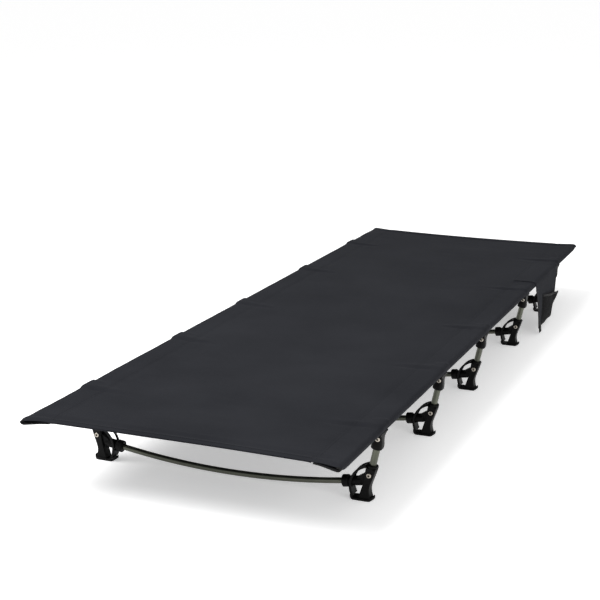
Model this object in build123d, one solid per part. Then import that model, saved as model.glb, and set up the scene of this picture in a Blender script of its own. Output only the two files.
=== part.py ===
from build123d import *
import math
import os

# A low folding camp cot: a cloth cover held taut between two long side rails, which sit
# on ten lever legs. Each pair of levers is joined under the bed by a sprung bow pole.
# Millimetres. X is across (the pocket hangs on the +X side), Y runs from foot to head,
# Z is up from the floor, and the origin is on the floor under the middle of the bed.

# Whole cot
bed_length = 1900.0
bed_width = 600.0
bed_height = 146.0
leg_gaps = [376.0, 330.0, 395.0, 360.0]  # between neighbouring pairs of legs, foot to head

# Cloth
cloth = 1.2
sleeve_gap = 0.3  # around the rail, inside its sleeve
stitch_inset = 53.0  # from the cot's side to the seam that closes the sleeve
seam_allowance = 3.0
hem_width = 22.0
hem_cloth = 1.0
notch_margin = 3.0  # each side of a rail clip, where the sleeve's lower layer is cut away

# Side rails
rail_od = 13.0
rail_wall = 1.2
rail_sections = 4
rail_end_inset = 22.0  # from the cover's end to the rail's cap
ferrule_length = 70.0
ferrule_wall = 1.2
cap_thickness = 3.0
cap_spigot = 12.0

# Bow poles and their sockets
bow_od = 11.0
bow_wall = 1.1
bow_droop = 8.8  # degrees below level where the pole leaves its socket
bow_drop = 11.95  # socket axis below the lever's pivot, measured square to the axis
bow_joint_x = -28.0  # where the two halves of the pole meet
shock_cord_od = 3.0
socket_od = 17.8
socket_start = 17.6  # distances along the socket's axis, inboard from the pivot
socket_floor = 24.0
flange_start = 41.3
flange_od = 22.7
socket_mouth = 54.0
lug_width = 13.0
lug_radius = 6.2
lug_foot_high = 3.8  # below the pivot line, where the lug runs into the socket
lug_foot_low = 17.5
lug_root = 6.0  # how far the lug runs along the socket

# Lever legs
pivot_height = 49.0
leg_lean = 12.0  # degrees outboard from upright
leg_swing = 65.0  # degrees from locked to released
foot_inboard = 38.0  # base plate, from under the pivot
foot_outboard = 8.6
foot_depth = 24.0
foot_plate = 4.0
foot_lip = 8.0
foot_lip_thickness = 3.2
foot_end_round = 11.8  # corner radius of the base, seen from above
column_depth = 20.0
column_edge = 2.0  # rounding of the column's long edges
collar_od = 21.6
collar_top = 18.3  # along the leg, from the pivot
collar_ring = 5.0  # height of the thicker ring at the collar's mouth
leg_tube_start = 10.5
leg_tube_od = 13.0
leg_tube_wall = 1.3
band_depth = 23.4
band_radius = 42.5
band_thickness = 4.2
band_out = 5.5  # band's centre, outboard of the pivot and below it
band_below = 22.6
band_top_angle = 106.0  # degrees, from level outboard
slot_top_angle = 112.0
side_play = 0.4  # each side of the socket in the band, and of the lug in the fork
turn_play = 0.5  # round the lug inside the fork
screw_od = 5.0  # the pivot screw, and the screw through the rail clip
pivot_play = 0.05
screw_head_od = 8.8
screw_head_height = 2.6
drive_radius = 2.6  # hexagon recess
drive_depth = 2.2

# Rail clips on the legs
clip_depth = 40.0  # how far the clip reaches down the leg from the rail's centre
tube_grip = 11.0
clip_sections = [  # height above the clip's foot, size across the cot, size along the cot
    (0.0, 20.0, 25.0),
    (5.5, 21.0, 26.0),
    (12.0, 19.0, 24.5),
    (19.0, 16.0, 23.0),
]
clip_neck = (14.5, 34.0)  # the same two sizes where the clip meets its jaw
clip_neck_overlap = 1.0  # how far the neck runs up into the jaw
clip_corner = 0.42  # corner radius of a section, as a share of its smaller side
clip_rim = 2.4
jaw_length = 40.0
seat_gap = 0.3
jaw_thickness = 4.6
jaw_tip = 6.5  # outboard of the leg's axis
jaw_wall_gap = 0.6
jaw_wall = 3.4
jaw_wall_rise = 2.6  # above the rail's centre
clip_screw_below_rail = 19.5
clip_screw_grip = 20.0
counterbore_gap = 0.3

# Storage pocket on the +X side
pocket_middle_y = 567.0
pocket_width = 255.0
pocket_on_top = 48.0  # flap lying on the cover, inboard of the rail
pocket_bottom = 16.0  # above the floor
pocket_near_taper = 52.0  # the back narrows by this much at its foot, on its foot-end side
pocket_far_taper = 60.0  # and on its head-end side
pocket_shoulder = 0.25  # share of the taper reached at the pouch's mouth
tail_width = 22.0
tail_reach = 12.0
pocket_gap = 0.5
pouch_near = 80.0  # from the pocket's foot-end edge
pouch_far = 5.0  # inside the back's head-end edge
pouch_top = 98.0
pouch_far_top = 76.0
pouch_bottom = 20.0
pouch_room = 7.0

# Worked out from the sizes above
rail_r = rail_od / 2
sleeve_r = rail_r + sleeve_gap
rail_x = bed_width / 2 - cloth - sleeve_r
rail_z = bed_height - cloth - sleeve_r
lean = math.radians(leg_lean)
droop = math.radians(bow_droop)
leg_reach = (rail_z - pivot_height) / math.cos(lean)
pivot_x = rail_x - leg_reach * math.sin(lean)
half_leg_span = sum(leg_gaps) / 2
stations = [-half_leg_span + sum(leg_gaps[:i]) for i in range(len(leg_gaps) + 1)]
sides = {"left": -1, "right": 1}

# Shapes of a lever and a socket are drawn on the +X side, with X measured from the pivot.
leg_frame = Plane(
    origin=(0, 0, pivot_height),
    x_dir=(math.cos(lean), 0, -math.sin(lean)),
    z_dir=(math.sin(lean), 0, math.cos(lean)),
)
socket_frame = Plane(
    origin=(bow_drop * math.sin(droop), 0, pivot_height - bow_drop * math.cos(droop)),
    x_dir=(0, 1, 0),
    z_dir=(-math.cos(droop), 0, -math.sin(droop)),
)
pivot_axis = Axis((0, 0, pivot_height), (0, 1, 0))


def flat(outline):
    """A face in the upright XZ plane from (x, z) points."""
    return Plane.XZ * make_face(Polyline(*outline, close=True))


def prism(face, depth):
    """A face in the XZ plane, given its depth along Y, half to each side."""
    return extrude(face, amount=depth / 2, both=True)


def rod(plane, radius, start, end):
    """A cylinder along the plane's normal between two distances from its origin."""
    return plane * (Pos(0, 0, (start + end) / 2) * Cylinder(radius, end - start))


def tube(plane, outer_d, wall, start, end):
    return rod(plane, outer_d / 2, start, end) - rod(plane, outer_d / 2 - wall, start, end)


def along_socket(distance, below):
    """(x, z) of a point inboard of the pivot along the socket's line, and square below it."""
    x = -distance * math.cos(droop) + below * math.sin(droop)
    z = pivot_height - distance * math.sin(droop) - below * math.cos(droop)
    return (x, z)


def on_leg(up, out):
    """(x, z) of a point up the leg from the pivot, and outboard square to it."""
    x = up * math.sin(lean) + out * math.cos(lean)
    z = pivot_height + up * math.cos(lean) - out * math.sin(lean)
    return (x, z)


def ring_sector(centre, inner_r, outer_r, start, end):
    """A face in the XZ plane between two arcs, with angles in degrees from level outboard."""
    outer = CenterArc(centre, outer_r, start, end - start)
    inner = CenterArc(centre, inner_r, start, end - start)
    ends = [Line(outer @ 0, inner @ 0), Line(outer @ 1, inner @ 1)]
    return Plane.XZ * make_face([outer, inner] + ends)


def lug_face(extra):
    """Side view of the lug between a socket and its pivot, grown all round by extra."""
    eye = Pos(0, pivot_height) * Circle(lug_radius)
    root = []
    for distance in (socket_start, socket_start + lug_root):
        root.append(along_socket(distance, lug_foot_high))
        root.append(along_socket(distance, lug_foot_low))
    root_edges = [Line(root[i], root[j]) for i, j in ((0, 1), (1, 3), (3, 2), (2, 0))]
    outline = make_hull(eye.edges() + root_edges)
    if extra:
        outline = offset(outline, extra)
    return Plane.XZ * outline


def screw_plane(point):
    """Plane across a screw that runs along the cot through the (x, z) point."""
    return Plane((point[0], 0, point[1]), z_dir=(0, 1, 0))


def socket():
    """Plastic end fitting of a bow pole: barrel, flange, blind bore and pivot lug."""
    barrel = rod(socket_frame, socket_od / 2, socket_start, socket_mouth)
    barrel = chamfer(barrel.faces().sort_by(Axis.X)[-1].edges(), 1.2)
    flange = rod(socket_frame, flange_od / 2, flange_start, socket_mouth)
    flange = fillet(flange.edges().filter_by(GeomType.CIRCLE), 1.6)
    body = barrel + flange + prism(lug_face(0), lug_width)
    body -= rod(socket_frame, bow_od / 2, socket_floor, socket_mouth + 1)
    body -= rod(screw_plane(on_leg(0, 0)), screw_od / 2 + pivot_play, -lug_width, lug_width)
    return body


def band_centre():
    return (band_out, pivot_height - band_below)


def base_plate():
    """Flat-bottomed plate of the foot, with both ends curled up and rounded in plan."""
    inner, outer = -foot_inboard, foot_outboard
    lip = foot_lip_thickness
    right = [(outer - 2 * lip, 0), (outer, foot_lip / 2), (outer, foot_lip), (outer - lip, foot_lip)]
    right.append((outer - 2 * lip, foot_plate))
    left = [(inner + 2 * lip, foot_plate), (inner + lip, foot_lip), (inner, foot_lip)]
    left += [(inner, foot_lip / 2), (inner + 2 * lip, 0)]
    profile = Plane.XZ * make_face(FilletPolyline(*right, *left, radius=lip / 2 - 0.1, close=True))
    plan = RectangleRounded(outer - inner, foot_depth, foot_end_round)
    corners = extrude(Pos((inner + outer) / 2, 0) * plan, foot_lip)
    return prism(profile, foot_depth) & corners


def column():
    """Web of the foot, waisted on its outboard side, from the base up to the collar."""
    low = foot_plate / 2
    side = collar_od / 2 - 1.6
    outboard = [on_leg(collar_top - collar_ring, side), on_leg(2, side - 0.8), (3.6, pivot_height - 14)]
    outboard += [(0.2, pivot_height - 27), (0.8, pivot_height - 36), (4.6, low)]
    inboard = [(-20.5, low), (-12.4, pivot_height - 20), (-9.4, pivot_height - 5)]
    inboard += [on_leg(leg_tube_start, -side), on_leg(collar_top - collar_ring, -side)]
    outline = [Spline(*outboard), Polyline(outboard[-1], *inboard), Line(inboard[-1], outboard[0])]
    web = prism(Plane.XZ * make_face(outline), column_depth)
    upright_edges = web.faces().filter_by(Axis.Y).edges()
    return fillet(upright_edges, column_edge)


def lever_foot():
    """Moulded foot: base, forked column, collar, and the slotted band round the socket."""
    foot_join = foot_lip - 1.5
    end_angle = 180 + math.degrees(math.asin((band_centre()[1] - foot_join) / band_radius))
    inner_r = band_radius - band_thickness
    collar = rod(leg_frame, collar_od / 2 - 0.8, leg_tube_start - 2, collar_top)
    ring = rod(leg_frame, collar_od / 2, collar_top - collar_ring, collar_top)
    ring = fillet(ring.edges().filter_by(GeomType.CIRCLE), 1.6)
    band_face = ring_sector(band_centre(), inner_r, band_radius, band_top_angle, end_angle)
    band = prism(band_face, band_depth)
    body = base_plate() + column() + collar + ring + band

    # The socket passes through the band, up to the collar as the lever is let go.
    play_r = socket_od / 2 + side_play
    low_z = along_socket(flange_start - band_thickness, bow_drop + play_r)[1]
    middle_r = band_radius - band_thickness / 2
    slot_end = 180 + math.degrees(math.asin((band_centre()[1] - low_z) / middle_r))
    slot_face = ring_sector(band_centre(), inner_r - 0.6, band_radius + 2, slot_top_angle, slot_end)
    body -= prism(slot_face, 2 * play_r)

    # The lug turns between the column's two cheeks.
    fork = prism(lug_face(turn_play), lug_width + 2 * side_play)
    turns = 10
    for i in range(turns + 1):
        body -= fork.rotate(pivot_axis, leg_swing * i / turns)
    body -= rod(leg_frame, leg_tube_od / 2, leg_tube_start, collar_top + 1)
    body -= rod(screw_plane(on_leg(0, 0)), screw_od / 2, -column_depth, column_depth)
    return body


def clip_start():
    return leg_reach - clip_depth


def leg_tube():
    return tube(leg_frame, leg_tube_od, leg_tube_wall, leg_tube_start, clip_start() + tube_grip)


def jaw_low():
    """Height up the leg of the jaw's underside."""
    return leg_reach - rail_r - seat_gap - jaw_thickness


def clip_body():
    """Bell-shaped grip on the leg tube, waisted at its screw and widening under the rail."""
    neck_top = jaw_low() + clip_neck_overlap - clip_start()
    sections = []
    for height, across, along in clip_sections + [(neck_top, *clip_neck)]:
        section = RectangleRounded(across, along, clip_corner * across)
        sections.append(leg_frame * (Pos(0, 0, clip_start() + height) * section))
    bell = loft(sections)
    return fillet(bell.faces().sort_by(Axis.Z)[0].edges(), clip_rim)


def clip_jaw():
    """Tray under the rail with a wall on its inboard side."""
    seat = leg_reach - rail_r - seat_gap
    low = jaw_low()
    wall_in = -(rail_r + jaw_wall_gap)
    wall_out = wall_in - jaw_wall
    top = leg_reach + jaw_wall_rise
    neck_half = clip_neck[0] / 2

    # The seat follows the arc that it swings on, so the rail slips out sideways.
    tip_up = math.sqrt(seat**2 - jaw_tip**2)
    corner_up = math.sqrt(seat**2 - (wall_in + 2) ** 2)
    seat_arc = ThreePointArc(on_leg(corner_up, wall_in + 2), on_leg(seat, 0), on_leg(tip_up, jaw_tip))
    rest = [on_leg(tip_up, jaw_tip), on_leg(tip_up - 2.4, jaw_tip + 0.6), on_leg(low, neck_half - 1)]
    rest += [on_leg(low, -neck_half + 1), on_leg(low + 3.5, wall_out)]
    rest += [on_leg(top - 2.5, wall_out), on_leg(top, wall_out + 0.9), on_leg(top, wall_in - 1)]
    rest += [on_leg(leg_reach - 2, wall_in), on_leg(corner_up + 1.6, wall_in)]
    rest.append(on_leg(corner_up, wall_in + 2))
    return prism(Plane.XZ * make_face([seat_arc, Polyline(*rest)]), jaw_length)


def rail_clip():
    """Clip on top of the leg, with its jaw under and inboard of the rail."""
    body = clip_body() + clip_jaw()
    body -= rod(leg_frame, leg_tube_od / 2, clip_start() - 1, clip_start() + tube_grip)
    bore_plane = screw_plane(clip_screw_point())
    body -= rod(bore_plane, screw_od / 2, -jaw_length, jaw_length)
    for start, end in ((-jaw_length, -clip_screw_grip / 2), (clip_screw_grip / 2, jaw_length)):
        body -= rod(bore_plane, screw_head_od / 2 + counterbore_gap, start, end)
    return body


def clip_screw_point():
    return on_leg(leg_reach - clip_screw_below_rail, 0)


def cross_screw(point, grip):
    """Screw along the cot through the (x, z) point, with a hexagon recess and a cap nut."""
    plane = screw_plane(point)
    half = grip / 2
    shank = rod(plane, screw_od / 2, -half, half)
    head = rod(plane, screw_head_od / 2, -half - screw_head_height, -half)
    head = fillet(head.faces().sort_by(Axis.Y)[0].edges(), 1.2)
    nut = rod(plane, screw_head_od / 2, half, half + screw_head_height)
    nut = fillet(nut.faces().sort_by(Axis.Y)[-1].edges(), 1.2)
    drive_plane = plane.offset(-half - screw_head_height)
    drive = extrude(drive_plane * RegularPolygon(drive_radius, 6), drive_depth)
    return shank + head + nut - drive


def screws():
    """The pivot screw, and the screw through the rail clip's waist."""
    return [cross_screw(on_leg(0, 0), column_depth), cross_screw(clip_screw_point(), clip_screw_grip)]


def bow_path():
    """Centre line of a bow pole: straight in each socket, one gentle arc between them."""
    end = along_socket(socket_floor, bow_drop)
    leave = along_socket(socket_mouth + 2, bow_drop)
    end_x, end_z = pivot_x + end[0], end[1]
    leave_x, leave_z = pivot_x + leave[0], leave[1]
    arc_r = leave_x / math.sin(droop)
    arc_centre = (0, leave_z + arc_r * math.cos(droop))
    first = Line((-end_x, end_z), (-leave_x, leave_z))
    arc = CenterArc(arc_centre, arc_r, 270 - bow_droop, 2 * bow_droop)
    last = Line((leave_x, leave_z), (end_x, end_z))
    return Plane.XZ * (first + arc + last), arc_centre, arc_r


def pole_along(path, outer_d, inner_d):
    start = Plane(origin=path @ 0, z_dir=path % 0)
    section = Circle(outer_d / 2)
    if inner_d:
        section -= Circle(inner_d / 2)
    return sweep(start * section, path=path)


def bow_pole():
    """Two tube halves that butt together, and the ferrule inside them."""
    path, arc_centre, arc_r = bow_path()
    bore = bow_od - 2 * bow_wall
    whole = pole_along(path, bow_od, bore)
    block = bed_width
    left = whole & (Pos(bow_joint_x - block / 2, 0, 0) * Box(block, block, block))
    right = whole & (Pos(bow_joint_x + block / 2, 0, 0) * Box(block, block, block))
    half_turn = math.degrees(ferrule_length / 2 / arc_r)
    middle_turn = 270 + math.degrees(math.asin(bow_joint_x / arc_r))
    ferrule_line = Plane.XZ * CenterArc(arc_centre, arc_r, middle_turn - half_turn, 2 * half_turn)
    ferrule = pole_along(ferrule_line, bore, bore - 2 * ferrule_wall)
    return [left, right, ferrule]


def shock_cord():
    return pole_along(bow_path()[0], shock_cord_od, 0)


def rail_frame(side):
    """Plane across a rail, with its normal along the cot."""
    return Plane(origin=(side * rail_x, 0, rail_z), x_dir=(1, 0, 0), z_dir=(0, 1, 0))


def rail_ends():
    reach = bed_length / 2 - rail_end_inset - cap_thickness
    return -reach, reach


def rail_tubes(side):
    """Tube sections in a row, with a ferrule inside each meeting of two."""
    low, high = rail_ends()
    section = (high - low) / rail_sections
    bore = rail_od - 2 * rail_wall
    pieces = []
    for i in range(rail_sections):
        start = low + i * section
        pieces.append(tube(rail_frame(side), rail_od, rail_wall, start, start + section))
        if i:
            half = ferrule_length / 2
            pieces.append(tube(rail_frame(side), bore, ferrule_wall, start - half, start + half))
    return pieces


def rail_caps(side):
    """Plastic plugs in the two ends of a rail."""
    bore_r = rail_od / 2 - rail_wall
    caps = []
    for end in rail_ends():
        sense = 1 if end > 0 else -1
        near, far = sorted((end, end + sense * cap_thickness))
        cap = rod(rail_frame(side), rail_od / 2, near, far)
        outer_face = cap.faces().sort_by(Axis.Y)[-1 if sense > 0 else 0]
        cap = fillet(outer_face.edges(), 1.5)
        near, far = sorted((end, end - sense * cap_spigot))
        caps.append(cap + rod(rail_frame(side), bore_r, near, far))
    return caps


def cover_sheet():
    """Top cloth from rail to rail, with a folded hem under each end."""
    width = 2 * rail_x
    sheet = Pos(0, 0, bed_height - cloth / 2) * Box(width, bed_length, cloth)
    hem_half_width = bed_width / 2 - stitch_inset - seam_allowance
    for end in (-1, 1):
        y = end * (bed_length - hem_width) / 2
        hem = Box(2 * hem_half_width, hem_width, hem_cloth)
        sheet += Pos(0, y, bed_height - cloth - hem_cloth / 2) * hem
    return sheet


def cover_sleeve():
    """The +X side's cloth: over the rail, round it and back under the sheet to the seam."""
    stitch_x = bed_width / 2 - stitch_inset
    under = bed_height - cloth
    outer_circle = Pos(rail_x, rail_z) * Circle(sleeve_r + cloth)
    outer_seam = [(stitch_x, under), (stitch_x, under - cloth), (stitch_x + 1, under)]
    inner_circle = Pos(rail_x, rail_z) * Circle(sleeve_r)
    inner_seam_x = stitch_x + seam_allowance
    inner_seam = [(inner_seam_x, under), (inner_seam_x + 1, under + cloth), (inner_seam_x, under + cloth)]
    outer = make_hull(outer_circle.edges() + Polyline(*outer_seam, close=True).edges())
    inner = make_hull(inner_circle.edges() + Polyline(*inner_seam, close=True).edges())
    body = prism(Plane.XZ * outer, bed_length) - prism(Plane.XZ * inner, bed_length + 2)
    roof = bed_height
    body -= Pos(0, 0, under + roof / 2) * Box(2 * rail_x, bed_length + 2, roof)
    notch = jaw_length + 2 * notch_margin
    for y in stations:
        inboard = (stitch_x - 1 + rail_x) / 2
        body -= Pos(inboard, y, under - roof / 2) * Box(rail_x - stitch_x + 1, notch, roof)
        body -= Pos(rail_x + 20, y, rail_z - 1 - roof / 2) * Box(40, notch, roof)
    return body


def pocket_span():
    return pocket_middle_y - pocket_width / 2, pocket_middle_y + pocket_width / 2


def pocket_flap():
    """Cloth lying on the cover and bent down round the rail's sleeve."""
    near_y, far_y = pocket_span()
    over = sleeve_r + cloth
    hang_angle = 6.0
    bend = prism(ring_sector((rail_x, rail_z), over, over + cloth, hang_angle, 90), pocket_width)
    top = Box(pocket_on_top, pocket_width, cloth)
    top = Pos(rail_x - pocket_on_top / 2, 0, bed_height + cloth / 2) * top
    return Pos(0, (near_y + far_y) / 2, 0) * (bend + top)


def pocket_plane():
    """Upright plane facing +X on the inner face of the hanging cloth."""
    hang_x = rail_x + sleeve_r + cloth + pocket_gap
    return Plane(origin=(hang_x, 0, 0), x_dir=(0, 1, 0), z_dir=(1, 0, 0))


def shoulder_height():
    return (pouch_top + rail_z - pocket_gap) / 2


def pocket_far_edge(height):
    """Y of the back's head-end edge, below its shoulder."""
    far_y = pocket_span()[1]
    share = (shoulder_height() - height) / (shoulder_height() - pocket_bottom)
    return far_y - pocket_far_taper * (pocket_shoulder + (1 - pocket_shoulder) * share)


def pocket_back():
    """Hanging back cloth, with a narrow tail at its foot-end lower corner."""
    near_y, far_y = pocket_span()
    top = rail_z - pocket_gap
    shoulder = shoulder_height()
    near_low = near_y + pocket_near_taper
    tail_low = near_low + tail_width / 2
    outline = [(near_y, top), (near_y + pocket_near_taper * pocket_shoulder, shoulder)]
    outline += [(near_low, pocket_bottom), (tail_low, pocket_bottom - tail_reach)]
    outline += [(near_low + tail_width, pocket_bottom), (pocket_far_edge(pocket_bottom), pocket_bottom)]
    outline += [(pocket_far_edge(shoulder), shoulder), (far_y, top)]
    return extrude(pocket_plane() * make_face(Polyline(*outline, close=True)), cloth)


def pocket_pouch():
    """Front panel, floor and two side gussets of the open-topped pouch."""
    near = pocket_span()[0] + pouch_near
    far = pocket_far_edge(pouch_far_top) - pouch_far
    far_low = pocket_far_edge(pouch_bottom) - pouch_far
    front_line = [(near, pouch_bottom), (far_low, pouch_bottom), (far, pouch_far_top), (near, pouch_top)]
    front_plane = pocket_plane().offset(cloth + pouch_room)
    gusset_plane = pocket_plane().offset(cloth)
    front = extrude(front_plane * make_face(Polyline(*front_line, close=True)), cloth)
    floor_line = [(near, pouch_bottom), (far_low, pouch_bottom)]
    floor_line += [(far_low, pouch_bottom + cloth), (near, pouch_bottom + cloth)]
    near_line = [(near, pouch_bottom + cloth), (near + cloth, pouch_bottom + cloth)]
    near_line += [(near + cloth, pouch_top - 1), (near, pouch_top - 1)]
    far_line = [(far_low - cloth, pouch_bottom + cloth), (far_low, pouch_bottom + cloth)]
    far_line += [(far, pouch_far_top), (far - cloth, pouch_far_top)]
    pieces = [front]
    for line in (floor_line, near_line, far_line):
        pieces.append(extrude(gusset_plane * make_face(Polyline(*line, close=True)), pouch_room))
    return pieces


def on_side(shape, side, y):
    """Move a shape drawn from the pivot on the +X side to its station on either side."""
    placed = Pos(pivot_x, y, 0) * shape
    return placed if side > 0 else mirror(placed, about=Plane.YZ)


def save(name, solids):
    shape = solids[0] if len(solids) == 1 else Compound(children=list(solids))
    export_step(shape, os.path.join("parts", name + ".step"))


os.makedirs("parts", exist_ok=True)

foot_shape = lever_foot()
tube_shape = leg_tube()
clip_shape = rail_clip()
screw_shapes = screws()
socket_shape = socket()
bow_shapes = bow_pole()
cord_shape = shock_cord()
sleeve_shape = cover_sleeve()

for number, station in enumerate(stations, start=1):
    save(f"bow_{number}_pole", [Pos(0, station, 0) * piece for piece in bow_shapes])
    save(f"bow_{number}_sockets", [on_side(socket_shape, side, station) for side in sides.values()])
    for side_name, side in sides.items():
        lever = f"lever_{number}_{side_name}"
        save(f"{lever}_foot", [on_side(foot_shape, side, station)])
        save(f"{lever}_leg_tube", [on_side(tube_shape, side, station)])
        save(f"{lever}_rail_clip", [on_side(clip_shape, side, station)])
        save(f"{lever}_screws", [on_side(piece, side, station) for piece in screw_shapes])

save("bow_shock_cords", [Pos(0, station, 0) * cord_shape for station in stations])
for side_name, side in sides.items():
    save(f"rail_{side_name}", rail_tubes(side))
    save(f"rail_{side_name}_caps", rail_caps(side))
save("cover_sheet", [cover_sheet()])
save("cover_sleeves", [mirror(sleeve_shape, about=Plane.YZ), sleeve_shape])
save("pocket_flap", [pocket_flap()])
save("pocket_back", [pocket_back()])
save("pocket_pouch", pocket_pouch())
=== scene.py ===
import math

import bmesh
import bpy
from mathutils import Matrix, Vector, noise


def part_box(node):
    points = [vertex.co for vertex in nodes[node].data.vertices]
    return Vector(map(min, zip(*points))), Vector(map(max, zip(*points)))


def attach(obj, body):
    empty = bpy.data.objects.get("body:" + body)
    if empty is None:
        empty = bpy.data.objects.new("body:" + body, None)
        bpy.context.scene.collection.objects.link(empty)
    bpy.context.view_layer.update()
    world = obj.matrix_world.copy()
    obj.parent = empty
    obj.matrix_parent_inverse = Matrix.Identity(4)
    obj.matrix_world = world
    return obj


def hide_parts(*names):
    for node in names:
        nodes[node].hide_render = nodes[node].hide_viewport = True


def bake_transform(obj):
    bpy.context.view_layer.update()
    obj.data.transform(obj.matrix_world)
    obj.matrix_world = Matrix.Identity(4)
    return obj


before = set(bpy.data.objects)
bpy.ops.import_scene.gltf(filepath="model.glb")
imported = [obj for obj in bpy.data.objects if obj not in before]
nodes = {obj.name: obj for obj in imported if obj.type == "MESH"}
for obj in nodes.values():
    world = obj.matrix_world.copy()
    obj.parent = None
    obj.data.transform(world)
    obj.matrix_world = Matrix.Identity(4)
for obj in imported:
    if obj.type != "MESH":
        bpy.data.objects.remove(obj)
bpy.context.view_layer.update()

mm = 0.001
print("frame loaded:", len(nodes), "parts")

# places that everything else is worked out from, in metres
railLow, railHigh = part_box("rail_right")
railX = (railLow[0] + railHigh[0]) / 2
railZ = (railLow[2] + railHigh[2]) / 2
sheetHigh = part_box("cover_sheet")[1]
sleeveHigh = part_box("cover_sleeves")[1]
flapLow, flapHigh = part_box("pocket_flap")
backLow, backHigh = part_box("pocket_back")
halfLength = sheetHigh[1]
sleeveR = sleeveHigh[0] - railX  # outside of the sleeve from the rail's centre
legStations = []
clipHalf = 0
for number in range(1, 6):
    clipLow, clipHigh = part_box(f"lever_{number}_right_rail_clip")
    legStations.append((clipLow[1] + clipHigh[1]) / 2)
    clipHalf = (clipHigh[1] - clipLow[1]) / 2


def hexColour(code, alpha=1.0):
    channels = [int(code[i:i + 2], 16) / 255 for i in (0, 2, 4)]
    linear = [c / 12.92 if c <= 0.04045 else ((c + 0.055) / 1.055) ** 2.4 for c in channels]
    return (*linear, alpha)


def addNode(tree, kind, settings=None, **inputs):
    # settings are the node's own fields; inputs are socket values or another node's output
    node = tree.nodes.new(kind)
    for field, value in (settings or {}).items():
        if field == "stops":
            for i, (place, colour) in enumerate(value):
                stop = node.color_ramp.elements[i] if i < 2 else node.color_ramp.elements.new(place)
                stop.position = place
                stop.color = colour
        else:
            setattr(node, field, value)
    for name, value in inputs.items():
        numbered = name.startswith("in") and name[2:].isdigit()
        socket = node.inputs[int(name[2:])] if numbered else node.inputs[name.replace("_", " ")]
        if isinstance(value, bpy.types.NodeSocket):
            tree.links.new(value, socket)
        else:
            socket.default_value = value
    return node


def newMaterial(name):
    material = bpy.data.materials.new(name)
    material.use_nodes = True
    tree = material.node_tree
    tree.nodes.clear()
    shader = addNode(tree, "ShaderNodeBsdfPrincipled")
    addNode(tree, "ShaderNodeOutputMaterial", Surface=shader.outputs["BSDF"])
    place = addNode(tree, "ShaderNodeTexCoord").outputs["Object"]
    return material, tree, shader, place


def waveScale(period):
    return math.pi / 10 / period  # a band texture's scale for a period in metres


# woven polyester, plain weave, dyed through: matte charcoal with a faint cool sheen
def wovenPolyester(name, settings):
    material, tree, shader, place = newMaterial(name)
    cloud = addNode(tree, "ShaderNodeTexNoise", Vector=place, Scale=settings["cloudScale"], Detail=4.0,
                    Roughness=0.55)
    fibre = addNode(tree, "ShaderNodeTexNoise", Vector=place, Scale=1 / settings["fibre"], Detail=2.0)
    dye = addNode(tree, "ShaderNodeValToRGB", {
        "stops": [(0.3, hexColour(settings["dark"])), (0.7, hexColour(settings["light"]))]},
        Fac=cloud.outputs["Fac"])
    flecks = addNode(tree, "ShaderNodeValToRGB", {
        "stops": [(0.35, hexColour("c8c8c8")), (0.65, hexColour("ffffff"))]}, Fac=fibre.outputs["Fac"])
    mixed = addNode(tree, "ShaderNodeMix", {"data_type": "RGBA", "blend_type": "MULTIPLY"},
                    in0=settings["fleck"], in6=dye.outputs["Color"], in7=flecks.outputs["Color"])
    tree.links.new(mixed.outputs[2], shader.inputs["Base Color"])
    rough = addNode(tree, "ShaderNodeMapRange", Value=cloud.outputs["Fac"],
                    To_Min=settings["rough"] - 0.06, To_Max=settings["rough"] + 0.06)
    tree.links.new(rough.outputs["Result"], shader.inputs["Roughness"])
    shader.inputs["Specular IOR Level"].default_value = settings["specular"]
    shader.inputs["Sheen Weight"].default_value = settings["sheen"]
    shader.inputs["Sheen Roughness"].default_value = 0.5
    shader.inputs["Sheen Tint"].default_value = hexColour(settings["sheenTint"])
    uv = addNode(tree, "ShaderNodeUVMap", {"uv_map": "cloth"}).outputs["UV"]
    perThread = waveScale(settings["thread"])
    warp = addNode(tree, "ShaderNodeTexWave", {"bands_direction": "X"}, Vector=uv, Scale=perThread)
    weft = addNode(tree, "ShaderNodeTexWave", {"bands_direction": "Y"}, Vector=uv, Scale=perThread)
    weave = addNode(tree, "ShaderNodeMath", {"operation": "MULTIPLY"}, in0=warp.outputs["Fac"],
                    in1=weft.outputs["Fac"])
    bump = addNode(tree, "ShaderNodeBump", Strength=settings["weaveStrength"],
                   Distance=settings["thread"] * 0.25,
                   Height=weave.outputs["Value"])
    creases = addNode(tree, "ShaderNodeTexNoise", Vector=place, Scale=settings["creaseScale"], Detail=3.0,
                      Distortion=0.6)
    crumple = addNode(tree, "ShaderNodeBump", Strength=settings["crumple"], Distance=0.004,
                      Height=creases.outputs["Fac"], Normal=bump.outputs["Normal"])
    tree.links.new(crumple.outputs["Normal"], shader.inputs["Normal"])
    return material


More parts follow.
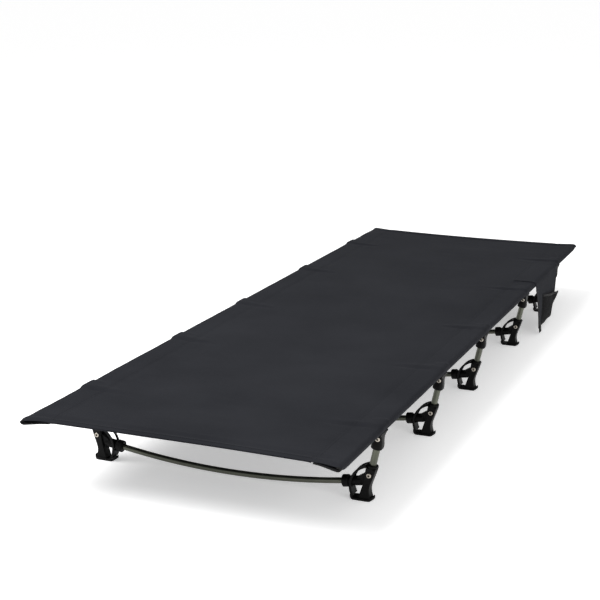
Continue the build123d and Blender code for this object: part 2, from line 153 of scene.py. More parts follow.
# glass-filled nylon, injection moulded: satin black, fine spark-eroded grain, edges rubbed a little paler
def mouldedNylon(name, settings):
    material, tree, shader, place = newMaterial(name)
    edges = addNode(tree, "ShaderNodeNewGeometry").outputs["Pointiness"]
    worn = addNode(tree, "ShaderNodeValToRGB", {
        "stops": [(0.51, hexColour(settings["colour"])), (0.62, hexColour(settings["edge"]))]}, Fac=edges)
    tree.links.new(worn.outputs["Color"], shader.inputs["Base Color"])
    mottle = addNode(tree, "ShaderNodeTexNoise", Vector=place, Scale=settings["mottle"], Detail=3.0)
    rough = addNode(tree, "ShaderNodeMapRange", Value=mottle.outputs["Fac"],
                    To_Min=settings["rough"] - 0.07, To_Max=settings["rough"] + 0.07)
    tree.links.new(rough.outputs["Result"], shader.inputs["Roughness"])
    shader.inputs["IOR"].default_value = 1.53
    shader.inputs["Specular IOR Level"].default_value = settings["specular"]
    rounded = addNode(tree, "ShaderNodeBevel", {"samples": 4}, Radius=settings["edgeRound"])
    grain = addNode(tree, "ShaderNodeTexNoise", Vector=place, Scale=1 / settings["grain"], Detail=2.0,
                    Roughness=0.6)
    bump = addNode(tree, "ShaderNodeBump", Strength=settings["grainStrength"], Distance=0.0002,
                   Height=grain.outputs["Fac"], Normal=rounded.outputs["Normal"])
    tree.links.new(bump.outputs["Normal"], shader.inputs["Normal"])
    return material


# drawn aluminium tube, titanium-grey anodised: semi-gloss metal, faint draw lines, thin clear film
def anodisedAluminium(name, settings):
    material, tree, shader, place = newMaterial(name)
    tint = addNode(tree, "ShaderNodeTexNoise", Vector=place, Scale=settings["mottle"], Detail=3.0)
    colour = addNode(tree, "ShaderNodeValToRGB", {
        "stops": [(0.3, hexColour(settings["dark"])), (0.7, hexColour(settings["light"]))]},
        Fac=tint.outputs["Fac"])
    tree.links.new(colour.outputs["Color"], shader.inputs["Base Color"])
    shader.inputs["Metallic"].default_value = settings["metallic"]
    lines = addNode(tree, "ShaderNodeMapping", Vector=place, Scale=settings["drawDirection"])
    draw = addNode(tree, "ShaderNodeTexNoise", Vector=lines.outputs["Vector"],
                   Scale=1 / settings["drawLine"], Detail=2.0)
    rough = addNode(tree, "ShaderNodeMapRange", Value=draw.outputs["Fac"],
                    To_Min=settings["rough"] - 0.05, To_Max=settings["rough"] + 0.08)
    tree.links.new(rough.outputs["Result"], shader.inputs["Roughness"])
    shader.inputs["Coat Weight"].default_value = 0.25
    shader.inputs["Coat Roughness"].default_value = 0.2
    bump = addNode(tree, "ShaderNodeBump", Strength=0.12, Distance=0.00006, Height=draw.outputs["Fac"])
    tree.links.new(bump.outputs["Normal"], shader.inputs["Normal"])
    return material


# turned stainless steel: bright, with fine tool marks and painted shade darkening the recess
def turnedSteel(name, settings):
    material, tree, shader, place = newMaterial(name)
    # painted shade: an ambient-occlusion mask darkens the steel towards near-black inside the recesses,
    # where shade falls
    shade = addNode(tree, "ShaderNodeAmbientOcclusion", {"samples": 8, "only_local": True},
                    Distance=settings["recess"])
    grime = addNode(tree, "ShaderNodeValToRGB", {
        "stops": [(0.45, hexColour(settings["grime"])), (0.85, hexColour(settings["colour"]))]},
        Fac=shade.outputs["AO"])
    tree.links.new(grime.outputs["Color"], shader.inputs["Base Color"])
    shader.inputs["Metallic"].default_value = 1.0
    marks = addNode(tree, "ShaderNodeTexNoise", Vector=place, Scale=1 / settings["toolMark"], Detail=3.0)
    rough = addNode(tree, "ShaderNodeMapRange", Value=marks.outputs["Fac"],
                    To_Min=settings["rough"] - 0.06, To_Max=settings["rough"] + 0.1)
    tree.links.new(rough.outputs["Result"], shader.inputs["Roughness"])
    bump = addNode(tree, "ShaderNodeBump", Strength=0.1, Distance=0.00005, Height=marks.outputs["Fac"])
    tree.links.new(bump.outputs["Normal"], shader.inputs["Normal"])
    return material


# spun polyester sewing thread: soft matte, a shade off the cloth, with its twist showing
def spunThread(name, settings):
    material, tree, shader, place = newMaterial(name)
    shader.inputs["Base Color"].default_value = hexColour(settings["colour"])
    shader.inputs["Roughness"].default_value = 0.85
    shader.inputs["Specular IOR Level"].default_value = 0.08
    twist = addNode(tree, "ShaderNodeTexWave", {"bands_direction": "DIAGONAL"}, Vector=place,
                    Scale=waveScale(settings["twist"]))
    bump = addNode(tree, "ShaderNodeBump", Strength=0.4, Distance=0.0001, Height=twist.outputs["Fac"])
    tree.links.new(bump.outputs["Normal"], shader.inputs["Normal"])
    return material


# grosgrain tape, woven polyester: dull black with fine cross ribs that catch the light
def grosgrainTape(name, settings):
    material, tree, shader, place = newMaterial(name)
    fibre = addNode(tree, "ShaderNodeTexNoise", Vector=place, Scale=1 / settings["fibre"], Detail=2.0)
    colour = addNode(tree, "ShaderNodeValToRGB", {
        "stops": [(0.3, hexColour(settings["dark"])), (0.7, hexColour(settings["light"]))]},
        Fac=fibre.outputs["Fac"])
    tree.links.new(colour.outputs["Color"], shader.inputs["Base Color"])
    shader.inputs["Roughness"].default_value = 0.85
    shader.inputs["Specular IOR Level"].default_value = 0.2
    shader.inputs["Sheen Weight"].default_value = 0.05
    ribs = addNode(tree, "ShaderNodeTexWave", {"bands_direction": settings["ribs"]}, Vector=place,
                   Scale=waveScale(settings["rib"]))
    bump = addNode(tree, "ShaderNodeBump", Strength=0.6, Distance=settings["rib"] * 0.3,
                   Height=ribs.outputs["Fac"])
    tree.links.new(bump.outputs["Normal"], shader.inputs["Normal"])
    return material


coverCloth = wovenPolyester("polyester_canvas_charcoal", {
    "dark": "202125", "light": "27282c", "sheenTint": "aab0c0", "sheen": 0.02, "specular": 0.05,
    "rough": 0.85,
    "thread": 0.0011,  # real threads are 0.4 mm apart, drawn coarser so that they show
    "weaveStrength": 0.35, "cloudScale": 6.0, "fibre": 0.0007, "fleck": 0.5, "creaseScale": 14.0,
    "crumple": 0.06})
pocketCloth = wovenPolyester("polyester_oxford_black", {
    "dark": "070708", "light": "0b0b0d", "sheenTint": "9aa0ac", "sheen": 0.01, "specular": 0.06,
    "rough": 0.8,
    "thread": 0.0012, "weaveStrength": 0.5, "cloudScale": 12.0, "fibre": 0.0007, "fleck": 0.5,
    "creaseScale": 30.0, "crumple": 0.12})
blackNylon = mouldedNylon("glass_filled_nylon_moulded_black", {
    "colour": "030303", "edge": "0c0c0d", "rough": 0.5, "specular": 0.1, "mottle": 60.0,
    "edgeRound": 0.0014,
    "grain": 0.0005, "grainStrength": 0.18})
poleFinish = {"dark": "4a4c43", "light": "585a4f", "metallic": 0.85, "rough": 0.3, "mottle": 18.0,
              "drawLine": 0.0005}
bowMetal = anodisedAluminium("aluminium_tube_anodised_across",
                             {**poleFinish, "drawDirection": (0.02, 1, 1)})
railMetal = anodisedAluminium("aluminium_tube_anodised_along",
                              {**poleFinish, "drawDirection": (1, 0.02, 1)})
legMetal = anodisedAluminium("aluminium_tube_anodised_upright",
                             {**poleFinish, "drawDirection": (1, 1, 0.02)})
# the near-black 0a0a0a is painted shade for the screw recesses
screwSteel = turnedSteel("stainless_steel_turned",
                         {"colour": "bdb6ab", "grime": "0a0a0a", "recess": 0.004, "rough": 0.28,
                          "toolMark": 0.0004})
seamThread = spunThread("polyester_thread_charcoal", {"colour": "0b0b0d", "twist": 0.0006})
pouchThread = spunThread("polyester_thread_grey", {"colour": "232425", "twist": 0.0006})
tapeFinish = {"dark": "0b0b0c", "light": "131314", "rib": 0.0014, "fibre": 0.0011}
edgeTape = grosgrainTape("grosgrain_tape_black", {**tapeFinish, "ribs": "Z"})
elasticCord = grosgrainTape("elastic_cord_braided_black", {**tapeFinish, "ribs": "DIAGONAL"})

for name, part in nodes.items():
    if "foot" in name or "clip" in name or "sockets" in name or "caps" in name:
        finish = blackNylon
    elif "screws" in name:
        finish = screwSteel
    elif "leg_tube" in name:
        finish = legMetal
    elif name.startswith("rail_"):
        finish = railMetal
    elif name.endswith("_pole"):
        finish = bowMetal
    elif "cord" in name:
        finish = elasticCord
    else:
        finish = pocketCloth
    for partSlot in part.material_slots:
        partSlot.material = finish
print("finishes on the hard parts: done")


def smoothStep(value, low, high):
    t = min(max((value - low) / (high - low), 0), 1)
    return t * t * (3 - 2 * t)


def between(low, high, share):
    return low + (high - low) * share


def hump(value, centre, half, soft):
    # 1 within half of the centre, easing to 0 over soft
    return 1 - smoothStep(abs(value - centre), half, half + soft)


def spaced(low, high, step):
    count = max(1, math.ceil(abs(high - low) / step))
    return [between(low, high, i / count) for i in range(count + 1)]


def addPiece(name, mesh, material):
    mesh.materials.append(material)
    mesh.polygons.foreach_set("use_smooth", [True] * len(mesh.polygons))
    piece = bpy.data.objects.new(name, mesh)
    bpy.context.scene.collection.objects.link(piece)
    return piece


def gridMesh(name, rows, columns, point, uvPoint, material, skip=None):
    # a sheet of quads through point(row, column); skip leaves some of them out
    mesh = bpy.data.meshes.new(name)
    verts = [point(row, column) for row in rows for column in columns]
    across = len(columns)
    faces = []
    for i in range(len(rows) - 1):
        for j in range(across - 1):
            if skip and skip((rows[i] + rows[i + 1]) / 2, columns[j], columns[j + 1]):
                continue
            first = i * across + j
            faces.append((first, first + 1, first + across + 1, first + across))
    mesh.from_pydata(verts, [], faces)
    mesh.update()
    flat = [uvPoint(row, column) for row in rows for column in columns]
    layer = mesh.uv_layers.new(name="cloth")
    for loop in mesh.loops:
        layer.data[loop.index].uv = flat[loop.vertex_index]
    piece = addPiece(name, mesh, material)
    work = bmesh.new()
    work.from_mesh(mesh)
    bmesh.ops.delete(work, geom=[v for v in work.verts if not v.link_faces], context="VERTS")
    bmesh.ops.recalc_face_normals(work, faces=work.faces)
    work.to_mesh(mesh)
    work.free()
    return piece


def thicken(piece, thickness):
    solid = piece.modifiers.new("cloth thickness", "SOLIDIFY")
    solid.thickness = thickness
    solid.offset = 0.0
    solid.use_even_offset = True
    bpy.context.view_layer.update()
    graph = bpy.context.evaluated_depsgraph_get()
    fresh = bpy.data.meshes.new_from_object(piece.evaluated_get(graph), preserve_all_data_layers=True,
                                            depsgraph=graph)
    piece.modifiers.clear()
    piece.data = fresh


def sweepMesh(name, lines, profile, material):
    # a closed profile, (u, v) points, carried along each line of (origin, u axis, v axis) frames
    verts, faces = [], []
    for line in lines:
        first = len(verts)
        size = len(profile)
        for origin, axisU, axisV in line:
            verts += [tuple(origin + axisU * u + axisV * v) for u, v in profile]
        for i in range(len(line) - 1):
            for j in range(size):
                a, b = first + i * size + j, first + i * size + (j + 1) % size
                faces.append((a, b, b + size, a + size))
        faces.append(tuple(reversed(range(first, first + size))))
        faces.append(tuple(range(len(verts) - size, len(verts))))
    mesh = bpy.data.meshes.new(name)
    mesh.from_pydata(verts, [], faces)
    mesh.update()
    work = bmesh.new()
    work.from_mesh(mesh)
    bmesh.ops.recalc_face_normals(work, faces=work.faces)
    work.to_mesh(mesh)
    work.free()
    return addPiece(name, mesh, material)


stitch = {"pitch": 4.0 * mm, "length": 2.9 * mm, "thread": 0.5 * mm, "proud": 0.12 * mm}


def stitchMesh(name, lines, material):
    # a row of raised stitches on each line, given as surface(distance) and its length, with the way up
    verts, faces = [], []
    for surface, run, up in lines:
        for i in range(int(run / stitch["pitch"])):
            start = (i + 0.5) * stitch["pitch"] - stitch["length"] / 2
            ends = [Vector(surface(start)), Vector(surface(start + stitch["length"]))]
            along = (ends[1] - ends[0]).normalized()
            side = along.cross(up).normalized()
            first = len(verts)
            for share, swell in ((0.0, 0.35), (0.3, 1.0), (0.7, 1.0), (1.0, 0.35)):
                middle = ends[0].lerp(ends[1], share) + up * stitch["proud"] * swell * 0.6
                r = stitch["thread"] / 2 * swell
                verts += [tuple(middle + side * r), tuple(middle + up * r), tuple(middle - side * r),
                          tuple(middle - up * r)]
            for ring in range(3):
                for j in range(4):
                    a, b = first + ring * 4 + j, first + ring * 4 + (j + 1) % 4
                    faces.append((a, b, b + 4, a + 4))
            faces.append((first + 3, first + 2, first + 1, first))
            faces.append((first + 12, first + 13, first + 14, first + 15))
    mesh = bpy.data.meshes.new(name)
    mesh.from_pydata(verts, [], faces)
    mesh.update()
    return addPiece(name, mesh, material)


# cover: one cloth, seam to seam round both rails
cover = {
    "thickness": 1.0 * mm, "stitchInset": 53 * mm, "rowStep": 5 * mm, "topStep": 7 * mm,
    "sag": 2.0 * mm, "bumpRise": 3.2 * mm, "bumpSoft": 12 * mm, "bumpReach": 30 * mm,
    "foldDepth": 3.0 * mm, "foldReach": 115 * mm, "foldWidth": 7 * mm,
    "endDip": 9 * mm, "hemWidth": 22 * mm, "grooveDepth": 1.8 * mm, "hemRise": 1.1 * mm,
    "hemDrop": 2.6 * mm,
    "endFlat": 0.38, "endRun": 22 * mm, "earReach": 8 * mm, "earDroop": 0.4 * mm,
    "streak": 0.9 * mm, "pucker": 0.25 * mm, "notchMargin": 3 * mm, "notchDrop": 7.5 * mm}
clothR = sleeveR - cover["thickness"] / 2 - 0.1 * mm
stitchX = sleeveHigh[0] - cover["stitchInset"]
notchHalf = clipHalf + cover["notchMargin"]
topZ = railZ + clothR
underZ = topZ - 2.2 * mm  # where the lower layer meets the seam


def sleeveTangent():
    # angle, from outboard level, at which the lower layer leaves the rail
    dx, dz = stitchX - railX, underZ - railZ
    return math.atan2(dz, dx) + math.acos(clothR / math.hypot(dx, dz)) - 2 * math.pi


def coverSection():
    # path of the cloth's middle across the cot, seam to seam: (x, z, outward x, outward z, kind)
    leave = sleeveTangent()
    startX, startZ = railX + clothR * math.cos(leave), railZ + clothR * math.sin(leave)
    half = []
    lowerCount = 9
    for i in range(lowerCount):
        t = i / lowerCount
        half.append((between(stitchX, startX, t), between(underZ, startZ, t), 0, -1, "lower"))
    turns = 20
    for i in range(turns + 1):
        angle = between(leave, math.pi / 2, i / turns)
        out = (math.cos(angle), math.sin(angle))
        half.append((railX + clothR * out[0], railZ + clothR * out[1], *out, "round"))
    topCount = math.ceil(railX / cover["topStep"])
    top = [(railX * (1 - i / topCount), topZ, 0, 1, "top") for i in range(1, topCount + 1)]
    right = half + top
    left = [(-x, z, -ox, oz, kind) for x, z, ox, oz, kind in reversed(right[:-1])]
    return right + left


section = coverSection()
sectionRun = [0.0]
for before, after in zip(section, section[1:]):
    sectionRun.append(sectionRun[-1] + math.hypot(after[0] - before[0], after[1] - before[1]))


def coverRise(x, y):
    # height that the taut top gains or loses from the plane between the rails
    edge = abs(x)
    waves = 0.6 + 0.4 * math.cos(2 * math.pi * y / halfLength)
    rise = -cover["sag"] * (1 - (edge / railX) ** 2) * waves
    for station in legStations:
        along = y - station
        side = smoothStep(edge, railX - cover["bumpReach"], railX - 4 * mm)
        rise += cover["bumpRise"] * side * hump(along, 0, clipHalf - 4 * mm, cover["bumpSoft"])
        # one crease runs in from each clip, and fades
        reach = smoothStep(edge, railX - cover["foldReach"], railX - 30 * mm)
        reach *= 1 - smoothStep(edge, railX - 24 * mm, railX - 11 * mm)  # the rail holds the cloth up
        line = along + 6 * mm + 0.1 * (railX - edge)
        rise -= cover["foldDepth"] * reach * math.exp(-((line + 16 * mm) / cover["foldWidth"]) ** 2)
        shoulder = math.exp(-((line + 2 * mm) / (1.6 * cover["foldWidth"])) ** 2)
        rise += 0.5 * cover["foldDepth"] * reach * shoulder
    # long soft streaks across the cot, along the pull of the cloth
    streak = noise.noise(Vector((x * 2.2, y * 13, 1.3))) + 0.5 * noise.noise(Vector((x * 5, y * 31, 4.1)))
    rise += cover["streak"] * streak * (0.35 + 0.65 * smoothStep(abs(y), 0.35, 0.9))
    # fine gathers in the left sleeve between two of the legs
    middle = (legStations[1] + legStations[2]) / 2
    gathered = smoothStep(-x, stitchX, stitchX + 12 * mm) * hump(y, middle, 0.09, 0.05)
    wobble = 2 * noise.noise(Vector((x * 20, y * 20, 0)))
    rise += 0.55 * mm * gathered * math.sin(2 * math.pi * (y + 0.2 * x) / (13 * mm) + wobble)
    # the seam draws the cloth down into a shallow puckered valley
    valley = math.exp(-((edge - stitchX) / (4 * mm)) ** 2)
    rise -= valley * (1.1 * mm + cover["pucker"] * math.sin(2 * math.pi * y / (9 * mm)))
    # hem: a soft groove, a raised strip, and the fold rolling down
    fromEnd = halfLength - abs(y)
    rise -= cover["grooveDepth"] * hump(fromEnd, cover["hemWidth"], 2 * mm,
                                        10 * mm) * smoothStep(railX - edge, 0, 30 * mm)
    rise += cover["hemRise"] * hump(fromEnd, 8 * mm, 3 * mm, 7 * mm)
    rise -= cover["hemDrop"] * (1 - smoothStep(fromEnd, 0, 7 * mm)) ** 2
    return rise


def coverEndShift(x, y):
    # the end edges bow in a little between the rails
    pull = 1 - min(abs(x) / railX, 1) ** 2
    share = smoothStep(abs(y), halfLength - 0.16, halfLength)
    ear = smoothStep(abs(x), railX - 35 * mm, railX + sleeveR)
    ear *= smoothStep(abs(y), halfLength - 30 * mm, halfLength)
    return math.copysign(1, y) * (cover["earReach"] * ear - cover["endDip"] * pull * share)


def onCover(x, y):
    # a point on the upper face of the cloth
    return (x, y + coverEndShift(x, y), topZ + coverRise(x, y) + cover["thickness"] / 2)


def coverPoint(y, column):
    x, z, outX, outZ, kind = section[column]
    if kind == "top":
        return (x, y + coverEndShift(x, y), z + coverRise(x, y))
    push = sum(
        cover["bumpRise"] * 0.8 * hump(y - station, 0, clipHalf - 4 * mm, cover["bumpSoft"])
        for station in legStations)
    # past the rail's end nothing holds the sleeve open, so it is partly flattened
    flat = 1 - cover["endFlat"] * smoothStep(abs(y), halfLength - cover["endRun"], halfLength - 2 * mm)
    z = topZ - (topZ - z) * flat
    if kind == "round":
        lift = smoothStep(outZ, -0.5, 1)
        edgeRise = coverRise(math.copysign(railX, x), y)
        ripple = 0.3 * mm * noise.noise(Vector((x * 30, y * 18, z * 40)))
        outward = push * 0.5 * smoothStep(outZ, -0.3, 0.6) + ripple
        droop = cover["earDroop"] * smoothStep(abs(y), halfLength - cover["endRun"], halfLength)
        return (x + outX * outward, y + coverEndShift(x, y),
                z + lift * edgeRise + outZ * ripple * 0.5 - droop)
    share = min(1, (abs(x) - stitchX) / (railX - stitchX))
    ripple = mm * noise.noise(Vector((x * 12, y * 9, 3.0))) * math.sin(math.pi * share)
    return (x, y + coverEndShift(x, y), z - abs(ripple) + coverRise(stitchX, y) * (1 - share))


rowBreaks = [-halfLength]
for station in legStations:
    rowBreaks += [station - notchHalf, station + notchHalf]
rowBreaks.append(halfLength)
coverRows = [rowBreaks[0]]
for low, high in zip(rowBreaks, rowBreaks[1:]):
    coverRows += spaced(low, high, cover["rowStep"])[1:]
endRows = [1 * mm, 2.5 * mm]  # extra rows where the hem turns down
coverRows = sorted(coverRows + [end * (halfLength - inset) for end in (-1, 1) for inset in endRows])


def inNotch(y, column, after):
    # the lower layer is cut away at each leg, from the seam round to the rail's outer side
    if min(abs(y - station) for station in legStations) > notchHalf:
        return False
    x, z, outX, outZ, kind = section[column]
    if kind == "lower" or section[after][4] == "lower":
        return True
    return kind == "round" and (z < railZ - cover["notchDrop"] or (outZ < 0 and outX * x < 0))


coverPiece = gridMesh(
    "cover_cloth", coverRows, list(range(len(section))), coverPoint,
    lambda y, column: (sectionRun[column], y), coverCloth, skip=inNotch)
thicken(coverPiece, cover["thickness"])
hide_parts("cover_sheet", "cover_sleeves")
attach(coverPiece, "cover")
print("cover cloth:", len(coverPiece.data.polygons), "faces")

# turned-under hems and the sewing on the cover
hem = {"thickness": 0.9 * mm, "drop": 1.3 * mm, "step": 7 * mm, "rowInsets": (6 * mm, 19 * mm)}
hemHalf = stitchX - 3 * mm
for end, label in ((-1, "foot"), (1, "head")):
    def hemPoint(x, inset, end=end):
        px, py, pz = onCover(x, end * (halfLength - max(inset, 0)))
        if inset < 0:
            return (px, py + end * 0.9 * mm, pz - 0.5 * (hem["drop"] + cover["thickness"]))
        return (px, py, pz - hem["drop"] - cover["thickness"] / 2)

    hemPiece = gridMesh(
        f"end_hem_{label}", spaced(-hemHalf, hemHalf, hem["step"]),
        [-1 * mm] + spaced(0, cover["hemWidth"], 4 * mm), hemPoint, lambda x, inset: (x, inset), coverCloth)
    thicken(hemPiece, hem["thickness"])
    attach(hemPiece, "cover")

seamLines = []
up = Vector((0, 0, 1))
for side in (-1, 1):
    for offset in (-3 * mm, 3 * mm):
        seamLines.append((
            lambda run, x=side * (stitchX + offset): onCover(x, min(run - halfLength + 2 * mm, halfLength)),
            2 * halfLength - 4 * mm, up))
for end in (-1, 1):
    for inset in hem["rowInsets"]:
        seamLines.append((lambda run, y=end * (halfLength - inset): onCover(run - hemHalf, y), 2 * hemHalf,
                          up))
seams = stitchMesh("cover_stitches", seamLines, seamThread)
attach(seams, "cover")
print("hems and stitches: done")

# black tape bound round the mouth of each sleeve, from its seam to the outer corner: a bound edge, and also
# painted shade, darker than the cloth where the sleeve's lip lies in shadow
mouthShadeTape = {"cover": 6 * mm, "past": 0.8 * mm, "half": 1.1 * mm}
mouthProfile = [(-mouthShadeTape["cover"], -mouthShadeTape["half"]), (mouthShadeTape["past"], -mouthShadeTape["half"]),
                (mouthShadeTape["past"], mouthShadeTape["half"]), (-mouthShadeTape["cover"], mouthShadeTape["half"])]
mouthLines = []
for end in (-1, 1):
    for sign in (-1, 1):
        columns = [i for i, (x, z, outX, outZ,
                             kind) in enumerate(section) if kind != "top" and x * sign > 0]
        mouthLines.append([
            (Vector(coverPoint(end * halfLength, i)), Vector((0, end, 0)),
             Vector((section[i][2], 0, section[i][3])))
            for i in columns])
# painted shade: the tape's near-black stands in for the shadow at each sleeve mouth
mouthShadeBinding = sweepMesh("sleeve_mouth_bindings_painted_shade", mouthLines, mouthProfile, edgeTape)
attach(mouthShadeBinding, "cover")

# side pocket: one cloth from the cover's top, over the rail, to its hanging foot
pocket = {
    "thickness": 1.0 * mm, "lift": 0.75 * mm, "step": 5 * mm, "foot": 16 * mm, "nearTaper": 52 * mm,
    "farTaper": 60 * mm,
    "wave": 1.8 * mm, "outward": 2.0 * mm, "tapeReach": 4.5 * mm, "tapeHalf": 1.1 * mm}
pocketNear, pocketFar = flapLow[1], flapHigh[1]
hangX = (backLow[0] + backHigh[0]) / 2
bendR = hangX - railX
topRun = railX - flapLow[0]
bendRun = bendR * math.pi / 2
hangRun = railZ - pocket["foot"]
pocketRun = topRun + bendRun + hangRun


def pocketSpan(run):
    # the cloth narrows as it hangs: its two edges along the cot
    share = max(0, (run - topRun - bendRun) / hangRun) ** 0.85
    return pocketNear + pocket["nearTaper"] * share, pocketFar - pocket["farTaper"] * share


def pocketPoint(run, share):
    near, far = pocketSpan(run)
    y = between(near, far, share)
    ripple = noise.noise(Vector((y * 14, run * 9, 7.7)))
    if run < topRun:
        x = railX - topRun + run
        rim = 0.5 * mm * (1 - smoothStep(min(share, 1 - share), 0, 0.02))
        return (x, y, topZ + coverRise(x, y) + pocket["lift"] + cover["thickness"] / 2 + rim)
    if run < topRun + bendRun:
        angle = math.pi / 2 * (1 - (run - topRun) / bendRun)
        settle = coverRise(railX, y) * math.sin(angle)
        return (railX + bendR * math.cos(angle), y, railZ + bendR * math.sin(angle) + settle)
    down = (run - topRun - bendRun) / hangRun
    swell = pocket["wave"] * down * (0.6 * math.sin(2 * math.pi * (share * 2.2 + 0.15)) + ripple)
    return (hangX + swell + pocket["outward"] * math.sin(math.pi * down), y, railZ - hangRun * down)


pocketPiece = gridMesh(
    "pocket_cloth", spaced(0, pocketRun, pocket["step"]), spaced(0, 1, 1 / 56), pocketPoint,
    lambda run, share: (run, between(*pocketSpan(run), share)), coverCloth)
thicken(pocketPiece, pocket["thickness"])
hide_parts("pocket_flap", "pocket_back")
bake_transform(pocketPiece)

# binding tape folded over the pocket's hanging edges
tapeProfile = [(-pocket["tapeReach"], -1.0 * pocket["tapeHalf"]), (0, -pocket["tapeHalf"]),
               (0.8 * mm, -0.5 * pocket["tapeHalf"]),
               (0.8 * mm, 0.5 * pocket["tapeHalf"]), (0, pocket["tapeHalf"]),
               (-pocket["tapeReach"], pocket["tapeHalf"])]


def pocketFrame(run, share, outward):
    return (Vector(pocketPoint(run, share)), outward.normalized(), Vector((1, 0, 0)))


edgeRuns = spaced(topRun + bendRun + 12 * mm, pocketRun, 6 * mm)
nearSide = [pocketFrame(run, 0, Vector((0, -1, 0))) for run in edgeRuns]
farSide = [pocketFrame(run, 1, Vector((0, 1, 0))) for run in edgeRuns]
footSide = [pocketFrame(pocketRun, share, Vector((0, 0, -1))) for share in spaced(0, 1, 1 / 40)]
binding = sweepMesh("pocket_binding", [nearSide, farSide, footSide], tapeProfile, edgeTape)
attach(binding, "pocket")

# pull tab: a folded strip of webbing sewn to the pocket's lower corner
tab = {"width": 20 * mm, "reach": 26 * mm, "foot": 5 * mm, "half": 1.0 * mm, "round": 2.0 * mm}
tabY = pocketNear + pocket["nearTaper"] + tab["width"] * 0.5
tabFrames = []
for z in spaced(tab["foot"] + tab["reach"], tab["foot"], 2 * mm):
    lean = 0.12 * (tab["foot"] + tab["reach"] - z)
    tabFrames.append((Vector((hangX + 1.4 * mm + lean, tabY - 0.3 * lean, z)), Vector((0, 1, 0)),
                      Vector((1, 0, 0))))
half = tab["width"] / 2
tabProfile = [(-half, 0), (-half + 0.4 * mm, -tab["half"]), (half - 0.4 * mm, -tab["half"]), (half, 0),
              (half - 0.4 * mm, tab["half"]), (-half + 0.4 * mm, tab["half"])]
tabPiece = sweepMesh("pocket_pull_tab", [tabFrames], tabProfile, edgeTape)
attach(tabPiece, "pocket")

# pouch: a panel sewn on three sides, open at its top
pouch = {
    "thickness": 0.9 * mm, "near": 78 * mm, "farInset": 3 * mm, "bottom": 19 * mm,
    "nearTop": 98 * mm, "farTop": 77 * mm, "belly": 6.0 * mm, "cornerOut": 9 * mm, "cornerAlong": 6 * mm,
    "weaveHigh": 75 * mm, "weaveWide": 165 * mm}
standOff = hangX + 2.2 * mm


def pouchPoint(height, share):
    z = between(pouch["bottom"], between(pouch["nearTop"], pouch["farTop"], share), height)
    far = pocketSpan(topRun + bendRun + railZ - z)[1] - pouch["farInset"]
    y = between(pocketNear + pouch["near"], far, share)
    belly = math.sin(math.pi * min(max(share, 0), 1)) ** 0.6
    belly = belly * smoothStep(height, 0, 0.35) * (0.75 + 0.25 * height)
    crease = 0.5 * mm * noise.noise(Vector((y * 25, z * 30, 2.2)))
    loose = smoothStep(share, 0.7, 1) * smoothStep(height, 0.35, 1)  # the far top corner is not sewn down
    slack = 1.5 * mm * height * math.sin(math.pi * share)
    out = pouch["belly"] * belly + pouch["cornerOut"] * loose + crease * belly
    return (standOff + out, y + pouch["cornerAlong"] * loose, z - slack)


pouchPiece = gridMesh(
    "pocket_pouch_panel", spaced(0, 1, 1 / 22), spaced(0, 1, 1 / 44), pouchPoint,
    lambda height, share: (height * pouch["weaveHigh"], share * pouch["weaveWide"]), pocketCloth)
thicken(pouchPiece, pouch["thickness"])
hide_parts("pocket_pouch")
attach(pouchPiece, "pocket")



def pouchFrame(height, share, outward):
    return (Vector(pouchPoint(height, share)), Vector(outward), Vector((1, 0, 0)))


mouth = [pouchFrame(1, share, (0, 0, 1)) for share in spaced(0, 1, 1 / 44)]
sewnDown = [pouchFrame(height, 0, (0, -1, 0)) for height in spaced(0, 1, 0.1)]
sewnFar = [pouchFrame(height, 1, (0, 1, 0)) for height in spaced(0, 1, 0.1)]
sewnFoot = [pouchFrame(0, share, (0, 0, -1)) for share in spaced(0, 1, 0.05)]
pouchTape = sweepMesh("pouch_binding", [mouth, sewnDown, sewnFar, sewnFoot], tapeProfile, edgeTape)
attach(pouchTape, "pocket")


def along(pointAt, first, last):
    # surface(distance) and length for a straight seam between two (a, b) places of pointAt
    run = (Vector(pointAt(*last)) - Vector(pointAt(*first))).length
    def surface(distance):
        share = min(distance / run, 1)
        return pointAt(between(first[0], last[0], share), between(first[1], last[1], share))
    return surface, run


outX = Vector((1, 0, 0))
pouchLines = []
for first, last in (((0.04, 0.02), (0.98, 0.02)), ((0.04, 0.98), (0.98, 0.98)),
                    ((0.04, 0.02), (0.04, 0.98)), ((0.95, 0.02), (0.95, 0.98))):
    surface, run = along(lambda height, share: tuple(Vector(pouchPoint(height, share)) + outX * 0.6 * mm),
                         first, last)
    pouchLines.append((surface, run, outX))
flapShare = 3 * mm / (pocketFar - pocketNear)
for first, last in (((4 * mm, flapShare), (4 * mm, 1 - flapShare)),
                    ((4 * mm, flapShare), (topRun, flapShare)),
                    ((4 * mm, 1 - flapShare), (topRun, 1 - flapShare))):
    surface, run = along(lambda down, share: tuple(Vector(pocketPoint(down, share)) + up * 0.5 * mm), first,
                         last)
    pouchLines.append((surface, run, up))
flapStitches = stitchMesh("flap_stitches", pouchLines[4:], seamThread)
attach(flapStitches, "cover")
pouchStitches = stitchMesh("pouch_stitches", pouchLines[:4], pouchThread)
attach(pouchStitches, "pocket")
print("side pocket: done")

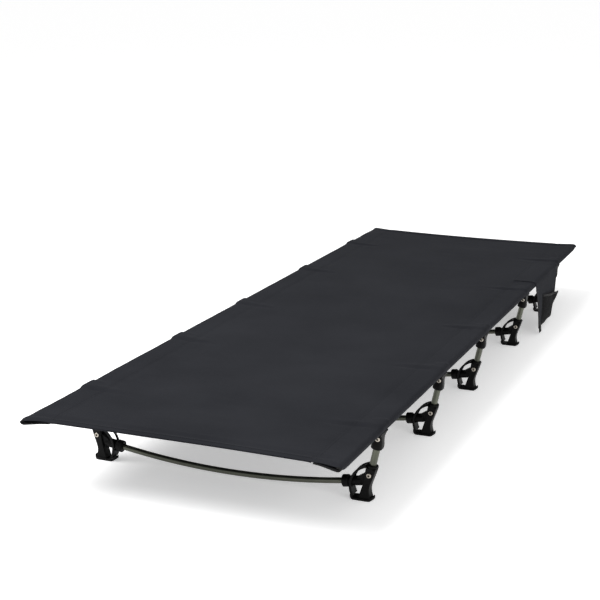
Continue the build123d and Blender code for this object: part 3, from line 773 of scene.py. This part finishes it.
# camera, floor and light
view = {"azimuth": 21.92, "elevation": 14.17, "roll": 0.47, "place": (1.022, -2.956, 0.948), "lens": 84.66,
        "shift": (0.0081, 0.0078)}
camera = bpy.data.objects.new("camera", bpy.data.cameras.new("camera"))
bpy.context.scene.collection.objects.link(camera)
bpy.context.scene.camera = camera
camera.data.lens = view["lens"]
camera.data.shift_x, camera.data.shift_y = view["shift"]
camera.location = view["place"]
turn, tilt = math.radians(view["azimuth"]), math.radians(view["elevation"])
towards = Vector((-math.sin(turn) * math.cos(tilt), math.cos(turn) * math.cos(tilt), -math.sin(tilt)))
camera.rotation_euler = towards.to_track_quat("-Z", "Y").to_euler()
camera.rotation_euler.rotate_axis("Z", math.radians(view["roll"]))

floorSize = 60
floorMesh = bpy.data.meshes.new("floor")
corners = [(-floorSize, -floorSize, 0), (floorSize, -floorSize, 0), (floorSize, floorSize, 0),
           (-floorSize, floorSize, 0)]
floorMesh.from_pydata(corners, [], [(0, 1, 2, 3)])
floor = bpy.data.objects.new("floor", floorMesh)
bpy.context.scene.collection.objects.link(floor)
# matte white studio paint, lifted by a little glow as a lit table is
floorPaint, _, floorShader, _ = newMaterial("matte_white_paint")
floorShader.inputs["Base Color"].default_value = hexColour("f6f6f6")
floorShader.inputs["Roughness"].default_value = 0.9
floorShader.inputs["Specular IOR Level"].default_value = 0.1
floorShader.inputs["Emission Color"].default_value = hexColour("ffffff")
floorShader.inputs["Emission Strength"].default_value = 0.42
floorMesh.materials.append(floorPaint)

world = bpy.data.worlds.new("studio")
bpy.context.scene.world = world
world.use_nodes = True
world.node_tree.nodes["Background"].inputs["Color"].default_value = (1, 1, 1, 1)
world.node_tree.nodes["Background"].inputs["Strength"].default_value = 0.62
lights = [
    {"name": "key", "place": (-1.5, -1.6, 2.8), "aim": (0, -0.2, 0), "size": 2.6, "power": 120},
    {"name": "fill", "place": (3.0, -2.2, 1.6), "aim": (0, 0, 0.1), "size": 2.0, "power": 25}]
for light in lights:
    lamp = bpy.data.lights.new(light["name"], "AREA")
    lamp.shape = "DISK"
    lamp.size = light["size"]
    lamp.energy = light["power"]
    holder = bpy.data.objects.new(light["name"], lamp)
    bpy.context.scene.collection.objects.link(holder)
    holder.location = light["place"]
    aim = Vector(light["aim"]) - Vector(light["place"])
    holder.rotation_euler = aim.to_track_quat("-Z", "Y").to_euler()
bpy.context.scene.view_settings.view_transform = "Standard"
print("camera, floor and light: done")
